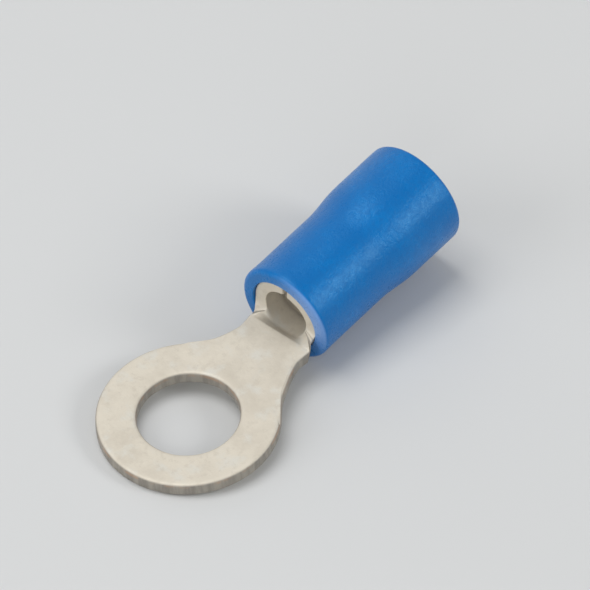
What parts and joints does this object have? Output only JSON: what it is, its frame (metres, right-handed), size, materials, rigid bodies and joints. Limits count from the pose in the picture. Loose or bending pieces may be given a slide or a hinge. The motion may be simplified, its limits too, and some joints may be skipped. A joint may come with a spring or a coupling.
{
  "type": "insulated ring terminal",
  "caption": "Crimp ring terminal: flat stamped ring with a stud hole, stepped neck and rolled barrel with a butted seam, in a flared moulded sleeve.",
  "frame": {"origin": "centre of the stud hole, in the underside of the ring", "axes": "+Z along the stud hole, out of the ring's upper face; +X along the barrel, towards the wire"},
  "size_m": [0.0228, 0.0094, 0.006],
  "materials": {
    "tinned_copper": "matte tin plating on stamped copper sheet",
    "sleeve_vinyl": "satin moulded vinyl, blue"
  },
  "bodies": {
    "root": {"terminal": "tinned_copper", "sleeve": "sleeve_vinyl"}
  },
  "joints": []
}
